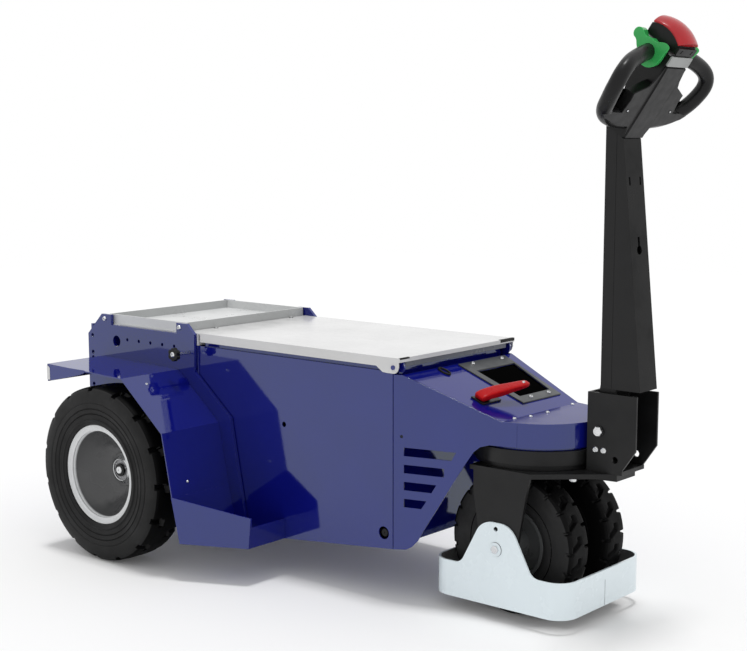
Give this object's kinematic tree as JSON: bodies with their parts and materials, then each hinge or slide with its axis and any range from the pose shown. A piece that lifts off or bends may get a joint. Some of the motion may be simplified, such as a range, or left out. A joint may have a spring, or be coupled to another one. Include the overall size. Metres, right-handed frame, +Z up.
{
  "type": "walk-behind electric tug",
  "caption": "Low three-point electric tug with large rear wheels, steered twin front wheels behind a guard band, hinged battery lid, rear tray and an upright tiller with loop grips.",
  "frame": {"origin": "on the ground, at the middle of the overall length and width", "axes": "+X forward towards the tiller, +Y to the machine's left, +Z up"},
  "size_m": [1.5629, 0.818, 1.2212],
  "materials": {
    "blue_paint": "high gloss deep blue",
    "white_paint": "gloss white",
    "grey_paint": "satin light grey",
    "pale_paint": "satin bluish white",
    "black_paint": "satin black",
    "black_plastic": "matte black",
    "dark_grey_plastic": "matte dark grey",
    "light_grey_plastic": "satin light grey",
    "red_plastic": "satin red",
    "green_plastic": "satin green",
    "tyre_rubber": "matte black rubber",
    "rim_paint": "satin grey",
    "steel": "bare machined steel"
  },
  "bodies": {
    "chassis": {"battery_pan": "blue_paint", "rear_floor": "blue_paint", "rear_wall": "blue_paint", "rear_axle": "steel", "rear_plates": "blue_paint", "side_panels": "blue_paint", "front_panels": "blue_paint", "hood_cover": "blue_paint", "nose_cover": "blue_paint", "steering_plate": "blue_paint", "battery_block": "black_paint", "tray": "grey_paint", "tray_bars": "black_paint", "deck_strip": "grey_paint", "hinge_ears": "blue_paint", "fenders": "blue_paint", "latch_knobs": "black_plastic", "lever_base": "black_plastic", "pull_lever": "red_plastic", "display_bezel": "black_plastic", "display_pan": "black_plastic"},
    "lid": {"lid_panel": "white_paint", "lid_bar": "grey_paint"},
    "rear_wheel_left": {"rear_tyre_left": "tyre_rubber", "rear_rim_left": "rim_paint"},
    "rear_wheel_right": {"rear_tyre_right": "tyre_rubber", "rear_rim_right": "rim_paint"},
    "steering": {"fork": "black_paint", "front_axle": "steel", "turntable_ring": "black_paint", "drive_motor": "black_paint", "gear_case": "black_paint", "tiller_bracket": "black_paint", "pivot_bolt": "steel", "bumper": "pale_paint"},
    "front_wheels": {"front_tyres": "tyre_rubber", "front_rims": "rim_paint"},
    "tiller": {"tiller_spine": "black_paint", "tiller_cover": "black_paint", "tiller_head": "black_plastic", "stop_cap": "red_plastic", "rockers": "green_plastic", "head_mask": "dark_grey_plastic", "head_band": "light_grey_plastic", "head_switch": "dark_grey_plastic"}
  },
  "joints": [
    {"name": "rear_wheel_left_spin", "type": "hinge", "parent": "chassis", "child": "rear_wheel_left", "pos_m": [-0.511, 0.357, 0.2075], "axis": [0, 1, 0], "continuous": true},
    {"name": "rear_wheel_right_spin", "type": "hinge", "parent": "chassis", "child": "rear_wheel_right", "pos_m": [-0.511, -0.357, 0.2075], "axis": [0, 1, 0], "continuous": true},
    {"name": "steering", "type": "hinge", "parent": "chassis", "child": "steering", "pos_m": [0.455, 0, 0.35], "axis": [0, 0, 1], "range_deg": [-75, 75]},
    {"name": "front_wheels_spin", "type": "hinge", "parent": "steering", "child": "front_wheels", "pos_m": [0.455, 0, 0.152], "axis": [0, 1, 0], "continuous": true},
    {"name": "tiller_tilt", "type": "hinge", "parent": "steering", "child": "tiller", "pos_m": [0.6284, 0, 0.4056], "axis": [0, 1, 0], "range_deg": [0, 70]},
    {"name": "lid_hinge", "type": "hinge", "parent": "chassis", "child": "lid", "pos_m": [0.224, 0, 0.513], "axis": [0, 1, 0], "range_deg": [0, 60]}
  ]
}
